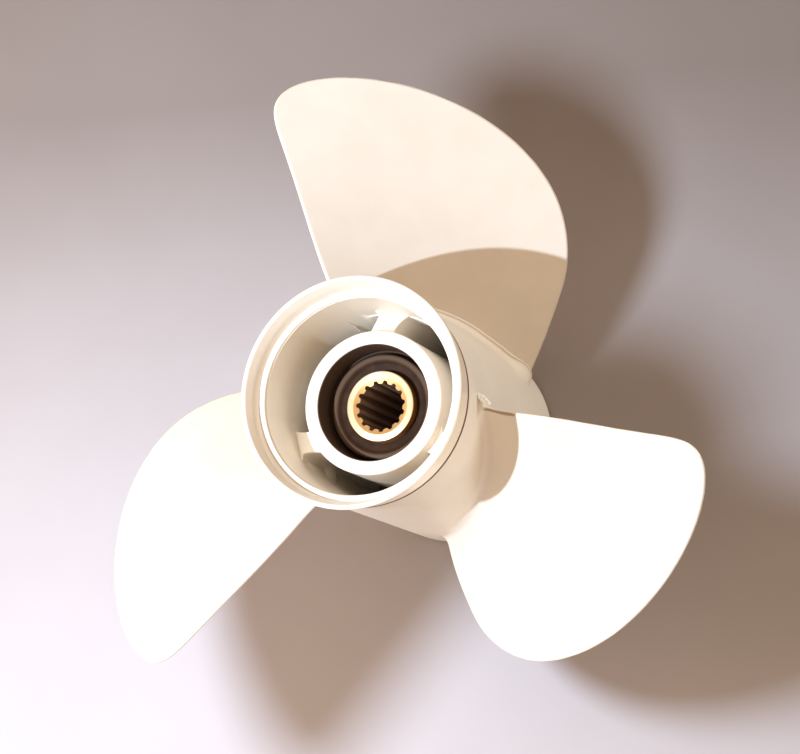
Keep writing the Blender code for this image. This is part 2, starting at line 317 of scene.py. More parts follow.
# The barrel's tube runs on up inside the ring, to a hair's step below the ledge
TUBE_TOP = LEDGE_HEIGHT - 1.6 * MM
TUBE_OUTER_RADIUS = 49.6 * MM
LEDGE_UNDERSIDE = TUBE_TOP - 0.3 * MM
BORE_RADIUS = 48.3 * MM
GROOVE_WIDTH = 0.9 * MM
GROOVE_DEPTH = 1.3 * MM
GROOVE_EDGE = 0.15 * MM
# Darker brown in and under the groove: how far it spreads, its soft edge, the radius outside which
# it lies, and its colour
GROOVE_DARK_SPREAD = 0.7 * MM
GROOVE_DARK_FADE = 0.1 * MM
GROOVE_DARK_START = TUBE_OUTER_RADIUS + 0.3 * MM
GROOVE_DARK_COLOUR = (0.20, 0.11, 0.05)
# How much a corner is rounded that nobody has broken, and the run of flat beside each arc
SHARP = 0.05 * MM
FLAT_RUN = 0.15 * MM
TURNED_STEPS = 360

PAINT_COLOURS = ((0.87, 0.79, 0.67), (0.91, 0.83, 0.71))
PAINT_MOTTLE = 38
# Spots a metre, and detail, of the changes in gloss, of the orange peel and of the cast grain
GLOSS_NOISE = (120.0, 4.0)
PEEL_NOISE = (700.0, 2.0)
GRAIN_NOISE = (260.0, 5.0)
GLOSS_RANGE = (0.3, 0.7)
GLOSS_SWING = 0.04
PEEL_STRENGTH = 0.06
PEEL_DEPTH = 0.2 * MM
GRAIN_DEPTH = 0.4 * MM
ENAMEL_ROUGHNESS = 0.34
ENAMEL_COAT = 0.3
COAT_ROUGHNESS = 0.12


def rounded(corners, steps=6):
    """A closed outline of (across, up, rounding) corners, each corner an arc tangent to its sides.

    Next to each arc a point is added on either side, so that smooth shading stays flat on the
    flats.
    """
    corners = np.array(corners, float)
    before = np.roll(corners, 1, axis=0)[:, :2] - corners[:, :2]
    after = np.roll(corners, -1, axis=0)[:, :2] - corners[:, :2]
    before /= np.linalg.norm(before, axis=1, keepdims=True)
    after /= np.linalg.norm(after, axis=1, keepdims=True)
    half = np.arccos(np.clip((before * after).sum(1), -1, 1)) / 2
    reach = corners[:, 2] / np.tan(half)
    middle = before + after
    middle /= np.linalg.norm(middle, axis=1, keepdims=True)
    centre = corners[:, :2] + middle * (corners[:, 2] / np.sin(half))[:, None]
    first = corners[:, :2] + before * reach[:, None] - centre
    last = corners[:, :2] + after * reach[:, None] - centre
    share = np.linspace(0, 1, steps + 1)[None, :, None]
    sweep = (math.pi - 2 * half)[:, None, None]
    arc = first[:, None] * np.sin((1 - share) * sweep) + last[:, None] * np.sin(share * sweep)
    arc = centre[:, None] + arc / np.sin(sweep)
    lead = arc[:, :1] + before[:, None] * FLAT_RUN
    trail = arc[:, -1:] + after[:, None] * FLAT_RUN
    return np.concatenate([lead, arc, trail], axis=1).reshape(-1, 2)


def turned(name, outline, steps=TURNED_STEPS):
    """A closed outline of (radius, height), carried round the shaft's axis."""
    turn = np.linspace(0, 2 * math.pi, steps, endpoint=False)[:, None]
    points = place_polar(outline[:, 0], turn, outline[:, 1])
    return mesh_piece(name, points, close_rows=True, close_columns=True)


def spotted(material, place, spots, detail):
    """A noise with so many spots a metre."""
    inputs = {"Vector": place, "Scale": spots, "Detail": detail}
    return add_node(material, "ShaderNodeTexNoise", inputs).outputs["Fac"]


def raised(material, height, strength, depth, **under):
    """A surface's normal with a height added to it, and to another normal if one is given."""
    inputs = {"Height": height, "Strength": strength, "Distance": depth, **under}
    return add_node(material, "ShaderNodeBump", inputs).outputs["Normal"]


def cast_enamel(
    name, grain, roughness=ENAMEL_ROUGHNESS, coat=ENAMEL_COAT, colours=PAINT_COLOURS
):
    """Cream enamel over a casting: a slow mottle, orange peel, and cast grain where it is rough."""
    material, shader, place = new_material(name)
    link = material.node_tree.links.new
    link(mottled(material, place, PAINT_MOTTLE, colours), shader.inputs["Base Color"])
    gloss = {
        "Value": spotted(material, place, *GLOSS_NOISE),
        "From Min": GLOSS_RANGE[0],
        "From Max": GLOSS_RANGE[1],
        "To Min": roughness - GLOSS_SWING,
        "To Max": roughness + GLOSS_SWING,
    }
    gloss = add_node(material, "ShaderNodeMapRange", gloss).outputs["Result"]
    link(gloss, shader.inputs["Roughness"])
    peel = spotted(material, place, *PEEL_NOISE)
    peel = raised(material, peel, PEEL_STRENGTH, PEEL_DEPTH)
    cast = spotted(material, place, *GRAIN_NOISE)
    cast = raised(material, cast, grain, GRAIN_DEPTH, Normal=peel)
    link(cast, shader.inputs["Normal"])
    shader.inputs["Coat Weight"].default_value = coat
    shader.inputs["Coat Roughness"].default_value = COAT_ROUGHNESS
    return material


def reckoned(material, operation, first, second=0.0):
    """One step of arithmetic on constants or sockets."""
    inputs = {0: first, 1: second}
    return add_node(material, "ShaderNodeMath", inputs, operation=operation).outputs["Value"]


def axis_radius(material, place):
    """Distance of a point from the shaft's axis."""
    flat = add_node(
        material, "ShaderNodeVectorMath", {0: place, 1: (1, 1, 0)}, operation="MULTIPLY"
    )
    radius = add_node(
        material, "ShaderNodeVectorMath", {0: flat.outputs["Vector"]}, operation="LENGTH"
    )
    return radius.outputs["Value"]


def height_from(material, place, level):
    """How far a point lies above or below a level, without its sign."""
    height = add_node(material, "ShaderNodeSeparateXYZ", {"Vector": place}).outputs["Z"]
    return reckoned(material, "ABSOLUTE", reckoned(material, "SUBTRACT", height, level))


def tinted_over(material, share, colour):
    """A share of another colour laid over the material's own."""
    base = material.node_tree.nodes["Principled BSDF"].inputs["Base Color"]
    own = base.links[0].from_socket
    material.node_tree.links.new(blended(material, share, own, colour), base)


def darken_groove(material):
    """Darker brown in the groove round the outside, and on the edge of the barrel under it."""
    place = add_node(material, "ShaderNodeTexCoord").outputs["Object"]
    off = height_from(material, place, RING_BOTTOM + GROOVE_WIDTH / 2)
    reach = GROOVE_WIDTH / 2 + GROOVE_DARK_SPREAD
    near = share_between(material, off, reach + GROOVE_DARK_FADE, reach)
    radius = axis_radius(material, place)
    outside = share_between(material, radius, GROOVE_DARK_START, GROOVE_DARK_START + GROOVE_DARK_FADE)
    tinted_over(material, reckoned(material, "MULTIPLY", near, outside), GROOVE_DARK_COLOUR)


ring = turned(
    "flare_ring_cast",
    rounded([
        (RIM_RADIUS, HUB_TOP, RIM_ROUNDING),
        (WAIST_RADIUS, WAIST_HEIGHT, WAIST_ROUNDING),
        (BARREL_RADIUS, RING_BOTTOM + GROOVE_WIDTH, GROOVE_EDGE),
        (BARREL_RADIUS - GROOVE_DEPTH, RING_BOTTOM + GROOVE_WIDTH, 0.1 * MM),
        (BARREL_RADIUS - GROOVE_DEPTH, RING_BOTTOM, SHARP),
        (TUBE_OUTER_RADIUS, RING_BOTTOM, SHARP),
        (TUBE_OUTER_RADIUS, LEDGE_UNDERSIDE, SHARP),
        (LEDGE_INNER_RADIUS, LEDGE_UNDERSIDE, SHARP),
        (LEDGE_INNER_RADIUS, LEDGE_HEIGHT, 0.6 * MM),
        (LEDGE_OUTER_RADIUS, LEDGE_HEIGHT, 0.5 * MM),
        (HOLLOW_RADIUS, HOLLOW_HEIGHT, HOLLOW_ROUNDING),
        (RIM_BORE, HUB_TOP, RIM_ROUNDING),
    ]),
)
ring_enamel = cast_enamel("ring_enamel", grain=0.05)
darken_groove(ring_enamel)
ring.data.materials.append(ring_enamel)
lit_by_low_panel.objects.link(ring)
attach(ring, "root")
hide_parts("flare_ring")


# Hub barrel
# The casting's outer tube, which the exhaust leaves through. Two cores shaped its bore: both
# leave a little draft, and they met at a narrow step where the ribs end.
NECK_RADIUS = 46.4 * MM
NECK_HEIGHT = 110 * MM
SHOULDER_RADIUS = 47.2 * MM
NECK_ROUNDING = 0.3 * MM
NECK_FADE = 22 * MM
NECK_FADE_ROUNDING = 150 * MM
# Where the step is crisp: from and to, in degrees round the axis, one stretch at each rib
NECK_STRETCHES = ((52, 112), (206, 227), (326, 353))
NECK_STRETCH_END = 6
BARREL_EDGE = 2.5 * MM
BARREL_INNER_EDGE = 0.8 * MM
TUBE_RADIUS = TUBE_OUTER_RADIUS - 0.1 * MM
# The paint is duller on the barrel and inside the hub than on the ring and the blades
DULL_ROUGHNESS = 0.48


def smooth_step(share):
    """A share from nought to one, eased in and out by a cubic."""
    return share * share * (3 - 2 * share)


def necked(name, crisp, faded, steps=720):
    """A closed outline carried round the axis, blended between a crisp form and a faded one.

    The share of the crisp form rises and falls smoothly over a few degrees at either end of each
    stretch.
    """
    turn = np.linspace(0, 2 * math.pi, steps, endpoint=False)[:, None]
    share = np.zeros_like(turn)
    for start, end in NECK_STRETCHES:
        off = np.abs(np.degrees(turn) - (start + end) / 2) - (end - start) / 2
        share = np.maximum(share, smooth_step(np.clip(1 - off / NECK_STRETCH_END, 0, 1)))
    radius = faded[:, 0] + (crisp - faded)[:, 0] * share
    height = faded[:, 1] + (crisp - faded)[:, 1] * share
    points = place_polar(radius, turn, height)
    return mesh_piece(name, points, close_rows=True, close_columns=True)


def barrel_outline(neck, shoulder):
    """The tube's outline, with the two corners of the step in its bore."""
    return rounded([
        (BARREL_RADIUS, RING_BOTTOM, GROOVE_EDGE),
        (BARREL_RADIUS, 0, BARREL_EDGE),
        (BORE_RADIUS, 0, BARREL_INNER_EDGE),
        neck,
        shoulder,
        (BORE_RADIUS, TUBE_TOP, SHARP),
        (TUBE_RADIUS, TUBE_TOP, SHARP),
        (TUBE_RADIUS, RING_BOTTOM, SHARP),
    ])


barrel = necked(
    "hub_barrel_cast",
    barrel_outline(
        (NECK_RADIUS, NECK_HEIGHT, NECK_ROUNDING), (SHOULDER_RADIUS, NECK_HEIGHT, NECK_ROUNDING)
    ),
    barrel_outline(
        (NECK_RADIUS, NECK_HEIGHT - NECK_FADE / 2, NECK_FADE_ROUNDING),
        (BORE_RADIUS, NECK_HEIGHT + NECK_FADE / 2, NECK_FADE_ROUNDING),
    ),
)
barrel_enamel = cast_enamel("barrel_enamel", grain=0.02, roughness=DULL_ROUGHNESS, coat=0.0)
darken_groove(barrel_enamel)
barrel.data.materials.append(barrel_enamel)
lit_by_panel.objects.link(barrel)
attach(barrel, "root")
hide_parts("hub_barrel")


# Casting flash
# A thin fin of metal that the mould's joint left along the bore, and nobody filed away. It tapers
# to nothing at both ends.
FLASH_ANGLE = math.radians(126.6)
FLASH_TOP = 115 * MM
FLASH_BOTTOM = 74 * MM
FLASH_HALF_WIDTH = 0.6 * MM
FLASH_HEIGHT = 1.0 * MM
FLASH_ROOT = 0.6 * MM
# How far its hidden back bulges into the wall, as a share of its height
FLASH_BACK = 0.2
# Share of the length over which each end tapers, and the power of the taper
FLASH_TAPER = 0.2
FLASH_TAPER_POWER = 0.7
# How much its height and its line wander, and how often, in radians over the whole length
FLASH_RIPPLE = 0.25
FLASH_RIPPLE_WAVES = (23, 9)
FLASH_SWAY = 0.25 * MM
FLASH_SWAY_WAVES = 17
# Whiter than the paint elsewhere: a painted highlight on the fin
FLASH_HIGHLIGHT_COLOURS = ((0.97, 0.93, 0.86), (0.98, 0.95, 0.90))
TRIM_ROUGHNESS = 0.4


def flash_fin(name, rows=60, columns=12):
    """Half a rounded section, carried down the bore, with a sine wave's sway and tapered ends."""
    along = np.linspace(0, 1, rows + 1)[:, None]
    height = FLASH_TOP + (FLASH_BOTTOM - FLASH_TOP) * along
    ends = np.minimum(along, 1 - along)
    size = np.clip(ends / FLASH_TAPER, 0, 1) ** FLASH_TAPER_POWER
    short_waves, long_waves = FLASH_RIPPLE_WAVES
    size = size * (1 + FLASH_RIPPLE * np.sin(along * short_waves) * np.sin(along * long_waves))
    bend = np.linspace(0, 2 * math.pi, columns, endpoint=False)[None, :]
    levels = (0, NECK_HEIGHT - NECK_FADE / 2, NECK_HEIGHT + NECK_FADE / 2)
    wall = np.interp(height, levels, (BORE_RADIUS, NECK_RADIUS, BORE_RADIUS)) + FLASH_ROOT
    radius = wall - (FLASH_HEIGHT + FLASH_ROOT) * size * np.clip(np.cos(bend), -FLASH_BACK, 1)
    sway = FLASH_SWAY * np.sin(along * FLASH_SWAY_WAVES)
    turn = FLASH_ANGLE + (FLASH_HALF_WIDTH * size * np.sin(bend) + sway) / wall
    return mesh_piece(name, place_polar(radius, turn, height), close_columns=True)


flash = flash_fin("casting_flash")
flash_enamel = cast_enamel(
    "flash_enamel", grain=0.1, roughness=TRIM_ROUGHNESS, coat=0.0, colours=FLASH_HIGHLIGHT_COLOURS
)
flash.data.materials.append(flash_enamel)
lit_by_panel.objects.link(flash)
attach(flash, "root")


# Inner hub
# The inner tube of the casting, bored to take the rubber bush. Its stern face is machined flat
# and painted with the rest, and its corners are only just broken.
inner_low, inner_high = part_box("inner_hub")
# The solids keep a hair's gap to each other, which the casting's surfaces close
CAST_GAP = 0.3 * MM
INNER_RADIUS = inner_high[0] + CAST_GAP
INNER_TOP = inner_high[2]
INNER_BOTTOM = inner_low[2]
INNER_BORE = 29.1 * MM

inner_hub = turned(
    "inner_hub_cast",
    rounded([
        (INNER_RADIUS, INNER_TOP, 1.1 * MM),
        (INNER_RADIUS, INNER_BOTTOM, 1.0 * MM),
        (INNER_BORE, INNER_BOTTOM, 0.5 * MM),
        (INNER_BORE, INNER_TOP, 0.35 * MM),
    ]),
)
inner_hub.data.materials.append(
    cast_enamel("inner_hub_enamel", grain=0.08, roughness=DULL_ROUGHNESS, coat=0.0)
)
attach(inner_hub, "root")
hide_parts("inner_hub")


# Ribs
# Three lengthwise webs of the casting join the inner hub to the barrel. One side of each tapers
# outwards and swells into the wall at its end, and the other flares all the way. The stern edge
# sinks towards the flared side and towards the wall.
RIB_FIRST_ANGLE = math.radians(102)
RIB_START_RADIUS = INNER_RADIUS - CAST_GAP
RIB_END_RADIUS = BORE_RADIUS + 0.2 * MM
RIB_WALL_RADIUS = NECK_RADIUS + 0.3 * MM
RIB_THIN_SIDE = 1.5 * MM
RIB_TAPER = 4.9 * MM
RIB_TAPER_END = 0.72
RIB_TAPER_POWER = 1.2
RIB_FLARED_SIDE = 6.5 * MM
RIB_FLARE = 7.6 * MM
RIB_FLARE_POWER = 1.5
RIB_FILLET = 2.2 * MM
RIB_EDGE = 0.8 * MM
RIB_TOP = 116.7 * MM
RIB_DROP = 6.0 * MM
RIB_DROP_POWER = 1.8
RIB_SINK_START = 45.4 * MM
RIB_SINK = 1.1 * MM
RIB_BOTTOM = 12 * MM


def fillet_rise(distance, radius):
    """How far a quarter-circle fillet stands out, at a distance from the wall it grows from."""
    share = np.clip(1 - distance / radius, 0, 1)
    return radius * (1 - np.sqrt(1 - share ** 2))


def with_ends(points):
    """A grid with a row added at either end, all at the middle of the row that it closes."""
    middles = points.mean(axis=1, keepdims=True)[[0, -1]] + 0 * points[[0, -1]]
    return np.concatenate([middles[:1], points, middles[1:]])


def rib(name, angle, along=60, across=24, rise=40, bends=9):
    """A closed section (half widths, height) carried outwards from the inner hub to the barrel.

    The section runs up the tapered side, round over the stern edge, down the flared side and
    back under. Each half width is a power of the way out, and grows by a quarter circle at the
    inner hub and at the barrel's neck. Across, the stern edge sinks by a sine, and outwards by a
    power and then a smooth step.
    """
    share = (1 - np.cos(np.linspace(0, math.pi, along + 1)))[:, None] / 2
    radius = RIB_START_RADIUS + share * (RIB_END_RADIUS - RIB_START_RADIUS)
    inside = fillet_rise(radius - INNER_RADIUS, RIB_FILLET)
    outside = fillet_rise(np.maximum(RIB_WALL_RADIUS - radius, 0), RIB_FILLET)
    taper = np.clip(1 - share / RIB_TAPER_END, 0, 1) ** RIB_TAPER_POWER
    left = RIB_THIN_SIDE + RIB_TAPER * taper + inside + outside
    right = RIB_FLARED_SIDE + RIB_FLARE * share ** RIB_FLARE_POWER + inside
    sink = np.clip((radius - RIB_SINK_START) / (BORE_RADIUS - RIB_SINK_START), 0, 1)
    top = RIB_TOP - RIB_SINK * smooth_step(sink)
    drop = RIB_DROP * share ** RIB_DROP_POWER

    edge = RIB_EDGE
    bend = np.linspace(0, math.pi / 2, bends)[None, :]
    up = np.linspace(0, 1, rise)[None, :]
    over = np.linspace(0, 1, across + 2)[None, 1:-1]
    left_top = top - edge
    right_top = top - drop - edge
    left_up = (left + 0 * up, RIB_BOTTOM + (left_top - RIB_BOTTOM) * up)
    left_bend = (left - edge * (1 - np.cos(bend)), left_top + edge * np.sin(bend))
    crown = (
        (left - edge) * (1 - over) - (right - edge) * over,
        top - drop * np.sin(over * math.pi / 2),
    )
    right_bend = (-(right - edge * (1 - np.sin(bend))), right_top + edge * np.cos(bend))
    right_down = (-right + 0 * up, RIB_BOTTOM + (right_top - RIB_BOTTOM) * (1 - up))
    parts = (left_up, left_bend, crown, right_bend, right_down)
    width = np.concatenate([part[0] for part in parts], axis=1)
    height = np.concatenate([part[1] for part in parts], axis=1)
    turn = angle + np.arcsin(width / radius)
    return mesh_piece(name, with_ends(place_polar(radius, turn, height)), close_columns=True)


rib_enamel = cast_enamel("rib_enamel", grain=0.10, roughness=DULL_ROUGHNESS, coat=0.0)
for number in (1, 2, 3):
    web = rib(f"rib_{number}_cast", RIB_FIRST_ANGLE + (number - 1) * 2 * math.pi / 3)
    web.data.materials.append(rib_enamel)
    lit_by_panel.objects.link(web)
    lit_by_top_panel.objects.link(web)
    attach(web, "root")
    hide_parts(f"rib_{number}")


# Blades
# Three like blades, cast with the hub: right-handed, raked sternwards, thickest at the root,
# where they swell into the barrel in a broad fillet, and rounded all round their thin edge.
BLADE_FIRST_ANGLE = math.radians(90)
BLADE_PITCH = 409 * MM
BLADE_RAKE = 0.19
BLADE_FACE_HEIGHT = HUB_TOP - 74.7 * MM
BLADE_FACE_RADIUS = 100 * MM
BLADE_ROOT_RADIUS = BARREL_RADIUS - 0.05 * MM
BLADE_TIP_RADIUS = 171.3 * MM
BLADE_EDGE_HALF = 1.2 * MM
BLADE_ROOT_BULGE = 6.5 * MM
BLADE_TIP_BULGE = 1.6 * MM
# How far from the edge the back's bulge begins, and how full it is across
BLADE_BULGE_START = 8 * MM
BLADE_BULGE_POWER = 0.9
# On the driving face the first blade's fillet is a piece of its own, with a lip
FACE_FILLETS = (1 * MM, 5 * MM, 5 * MM)
BACK_FILLET = 7 * MM
# Radius (mm) and angle (degrees) round the edge: trailing root, tip, leading root
BLADE_EDGE = [
    (53.0, 42.7), (58, 39.4), (66, 37.9), (80, 37.1), (114, 35.3), (143, 34.4),
    (162.5, 33.3), (171.3, 28.9), (171.3, 20.5), (165.1, 8.6), (154.1, -5.3),
    (135.9, -19.4), (110.3, -29.3), (87.2, -34.3), (60.7, -41.3), (53.0, -45.6),
]
BLADE_TIP_STATION = 7.4
BLADE_EDGE_SAMPLES = 1200
# Painted shade under the right-hand blade's trailing root: its middle, and its half lengths
ROOT_SHADE_PLACE = (62.5 * MM, 8.2 * MM, 115.9 * MM)
ROOT_SHADE_HALVES = (9.0 * MM, 1.4 * MM, 1.4 * MM)
ROOT_SHADE_EDGE = (1.1, 0.8)
ROOT_SHADE_COLOUR = (0.42, 0.30, 0.18)


def through_stations(values, at):
    """A natural cubic spline through evenly numbered stations, read at the given places."""
    values = np.asarray(values, float)
    count = len(values)
    system = np.eye(count)
    inner = np.arange(1, count - 1)
    system[inner, inner - 1] = 1
    system[inner, inner] = 4
    system[inner, inner + 1] = 1
    bend = np.zeros(count)
    bend[1:-1] = 6 * (values[:-2] - 2 * values[1:-1] + values[2:])
    curvature = np.linalg.solve(system, bend)
    left = np.clip(np.floor(at).astype(int), 0, count - 2)
    b = at - left
    a = 1 - b
    line = a * values[left] + b * values[left + 1]
    curve = (a ** 3 - a) * curvature[left] + (b ** 3 - b) * curvature[left + 1]
    return line + curve / 6


def blade_edge(at):
    """Radius and angle of the blade's edge at places numbered along its stations."""
    radius = through_stations([r for r, _ in BLADE_EDGE], at) * MM
    angle = np.radians(through_stations([a for _, a in BLADE_EDGE], at))
    return np.maximum(radius, BLADE_ROOT_RADIUS), angle


def helical_height(radius, angle):
    """Height of the blade's driving face: pitch round the axis, rake away from it."""
    rise = BLADE_PITCH * angle / (2 * math.pi)
    return BLADE_FACE_HEIGHT + rise + BLADE_RAKE * (radius - BLADE_FACE_RADIUS)


def off_blade(radius, angle, offset, blade_angle):
    """Points a distance off the blade's mean surface, inside their own cylinder.

    The slope is that of the pitch: the offset is split into a turn back and a rise.
    """
    slope = np.arctan2(BLADE_PITCH / (2 * math.pi), radius)
    turn = angle - offset * np.sin(slope) / radius + blade_angle
    height = helical_height(radius, angle) + offset * np.cos(slope)
    return place_polar(radius, turn, height)


def blade(name, blade_angle, face_fillet, rows=150, columns=150):
    """The driving face and the rounded back, as one tube of sections from the root to the tip.

    Each row joins a place on the trailing edge to one on the leading edge. The half thickness
    follows a quarter circle near the edge, a quarter-circle fillet near the barrel, and a sine
    bulge on the back.
    """
    up = (1 - np.cos(np.linspace(0, math.pi, rows + 1))) / 2
    across = (1 - np.cos(np.linspace(0, math.pi, columns + 1))) / 2
    last = len(BLADE_EDGE) - 1
    trailing_r, trailing_a = blade_edge(up * BLADE_TIP_STATION)
    leading_r, leading_a = blade_edge(last - up * (last - BLADE_TIP_STATION))
    radius = trailing_r[:, None] + (leading_r - trailing_r)[:, None] * across
    angle = trailing_a[:, None] + (leading_a - trailing_a)[:, None] * across
    middle = place_polar(radius, angle, helical_height(radius, angle))

    edge_r, edge_a = blade_edge(np.linspace(0, last, BLADE_EDGE_SAMPLES))
    edge = place_polar(edge_r, edge_a, helical_height(edge_r, edge_a))
    inset = np.empty(radius.shape)
    for row in range(rows + 1):
        inset[row] = np.sqrt(((middle[row, :, None] - edge) ** 2).sum(-1).min(-1))
    inset[-1] = inset[:, 0] = inset[:, -1] = 0

    sides = []
    for fillet in (face_fillet, BACK_FILLET):
        corner = BLADE_EDGE_HALF + fillet_rise(radius - BARREL_RADIUS, fillet)
        sides.append(corner * np.sqrt(1 - (1 - np.clip(inset / corner, 0, 1)) ** 2))
    outward = (radius - BLADE_ROOT_RADIUS) / (BLADE_TIP_RADIUS - BLADE_ROOT_RADIUS)
    bulge = BLADE_ROOT_BULGE + (BLADE_TIP_BULGE - BLADE_ROOT_BULGE) * outward
    bulge = bulge * np.sin(math.pi * across) ** BLADE_BULGE_POWER
    bulge = bulge * np.clip(inset / BLADE_BULGE_START, 0, 1)
    face = off_blade(radius, angle, sides[0], blade_angle)
    back = off_blade(radius, angle, -sides[1] - bulge, blade_angle)
    points = np.concatenate([face, back[:, -2:0:-1]], axis=1)
    root = points[:1].mean(axis=1, keepdims=True) + 0 * points[:1]
    return mesh_piece(name, np.concatenate([root, points]), close_columns=True)


def root_shaded_enamel(name):
    """The blades' enamel, with painted shade, a soft brown, inside an ellipsoid round a place."""
    material = cast_enamel(name, grain=0.03)
    place = add_node(material, "ShaderNodeTexCoord").outputs["Object"]
    off = add_node(
        material, "ShaderNodeVectorMath", {0: place, 1: ROOT_SHADE_PLACE}, operation="SUBTRACT"
    )
    shares = tuple(1 / half for half in ROOT_SHADE_HALVES)
    off = add_node(
        material, "ShaderNodeVectorMath", {0: off.outputs[0], 1: shares}, operation="MULTIPLY"
    )
    far = add_node(material, "ShaderNodeVectorMath", {0: off.outputs[0]}, operation="LENGTH")
    inside = share_between(material, far.outputs["Value"], *ROOT_SHADE_EDGE)
    tinted_over(material, inside, ROOT_SHADE_COLOUR)
    return material


blade_enamel = cast_enamel("blade_enamel", grain=0.03)
# The right-hand blade's enamel carries painted shade under its trailing root
shaded_blade_enamel = root_shaded_enamel("blade_3_enamel")
for number in (1, 2, 3):
    blade_angle = BLADE_FIRST_ANGLE + (number - 1) * 2 * math.pi / 3
    piece = blade(f"blade_{number}_cast", blade_angle, FACE_FILLETS[number - 1])
    piece.data.materials.append(shaded_blade_enamel if number == 3 else blade_enamel)
    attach(piece, "root")
    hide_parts(f"blade_{number}")
    if number > 1:
        lit_by_panel.objects.link(piece)


# Root lip
# Where the first blade's driving face meets the barrel, the mould left a small fillet with a raised
# lip along it, from the leading edge to about the middle of the root.
LIP_START = -45.2
LIP_END = 8.0
# Distance of the lip from the axis (mm), at even steps of the angle from one end to the other
LIP_EDGE = (56.0, 58.5, 56.9, 56.5, 56.6, 57.2, 57.7, 57.9, 58.0, 58.0)
LIP_BEAD = 0.6 * MM
# The bead starts thinner, and reaches its full size over a few degrees
LIP_THIN_SHARE = 0.35
LIP_THIN_UNTIL = -38
LIP_THICKENS_OVER = 6
LIP_LEVEL = BLADE_EDGE_HALF + 0.15 * MM
LIP_END_LEVEL = 0.4
LIP_GUTTER = 0.35 * MM
LIP_GUTTER_DEPTH = 0.1 * MM
LIP_RISE = 2.2
LIP_OVERLAP = 0.1 * MM
LIP_BACK_SHARE = 0.45
LIP_DEPTH = 1.2 * MM
LIP_NOSE = 3.0


def root_lip(name, blade_angle, steps=200, bends=11, falls=15):
    """A half-round bead, a narrow gutter and a concave quarter ellipse, carried along the root.

    The same section is mirrored to the blade's back, so that it also closes the leading root.
    Its reach and height shrink as a quarter circle over a few degrees at the two ends.
    """
    share = np.linspace(0, 1, steps + 1)[:, None]
    degrees = LIP_START + (LIP_END - LIP_START) * share
    ends = np.minimum(degrees - LIP_START, LIP_END - degrees) / LIP_NOSE
    size = np.sqrt(1 - (1 - np.clip(ends, 0, 1)) ** 2)
    level = LIP_END_LEVEL + (1 - LIP_END_LEVEL) * size
    reach = through_stations(LIP_EDGE, share * (len(LIP_EDGE) - 1)) * MM - BARREL_RADIUS
    reach = reach * size
    edge = BARREL_RADIUS + reach
    thick = np.clip((degrees - LIP_THIN_UNTIL) / LIP_THICKENS_OVER, 0, 1)
    bead = LIP_BEAD * size * (LIP_THIN_SHARE + (1 - LIP_THIN_SHARE) * thick)

    over = np.linspace(0, math.pi, bends)[None, :]
    bead_radius = edge + bead * np.cos(over)
    bead_offset = (LIP_LEVEL + bead * np.sin(over)) * level
    gutter_radius = edge - bead - LIP_GUTTER * size
    gutter_offset = (LIP_LEVEL - LIP_GUTTER_DEPTH) * level
    fall = np.linspace(0, math.pi / 2, falls)[None, :]
    start = gutter_radius - LIP_GUTTER * size
    rise = LIP_RISE * reach
    hollow_radius = start - (start - BARREL_RADIUS + LIP_OVERLAP) * np.sin(fall)
    hollow_offset = gutter_offset + LIP_GUTTER * size + rise * (1 - np.cos(fall))
    inside = BARREL_RADIUS - LIP_DEPTH + 0 * edge
    radius = np.concatenate([bead_radius, gutter_radius, hollow_radius, inside], 1)
    offset = np.concatenate([bead_offset, gutter_offset, hollow_offset, rise], 1)
    radius = np.concatenate([radius, radius[:, ::-1]], 1)
    offset = np.concatenate([offset, -LIP_BACK_SHARE * offset[:, ::-1]], 1)
    points = off_blade(radius, np.radians(degrees), offset, blade_angle)
    return mesh_piece(name, with_ends(points), close_columns=True)


lip = root_lip("root_lip_cast", BLADE_FIRST_ANGLE)
lip_enamel = cast_enamel("lip_enamel", grain=0.03, roughness=TRIM_ROUGHNESS, coat=0.0)
lip.data.materials.append(lip_enamel)
lit_by_panel.objects.link(lip)
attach(lip, "root")


# Casting lump
# A rough lump with small pits, where the mould had crumbled at the right-hand blade's trailing
# root. It was painted over with the rest.
LUMP_RADIUS = 56.2 * MM
LUMP_ANGLE = math.radians(372.6)
LUMP_HEIGHT = 119.6 * MM
LUMP_HALVES = (4.5 * MM, 1.7 * MM, 1.9 * MM)
LUMP_TURN = math.radians(-42)
# Whiter than the paint elsewhere: a painted highlight on the lump
LUMP_HIGHLIGHT_COLOURS = ((0.98, 0.95, 0.90), (0.99, 0.97, 0.93))
LUMP_RIPPLE = 0.10
# Each wave of the ripple: radians to a half length and to a half width, and its phase
LUMP_WAVES = ((7, 5, 0), (-4, 6, 1))
# Each pit: how far along the lump and across it, as shares of its halves
LUMP_PITS = ((-0.5, 0.1), (-0.02, 0.15), (0.55, -0.1))
LUMP_PIT_SIZE = 0.22
LUMP_PIT_STRETCH = 0.4
LUMP_PIT_DEPTH = 0.75


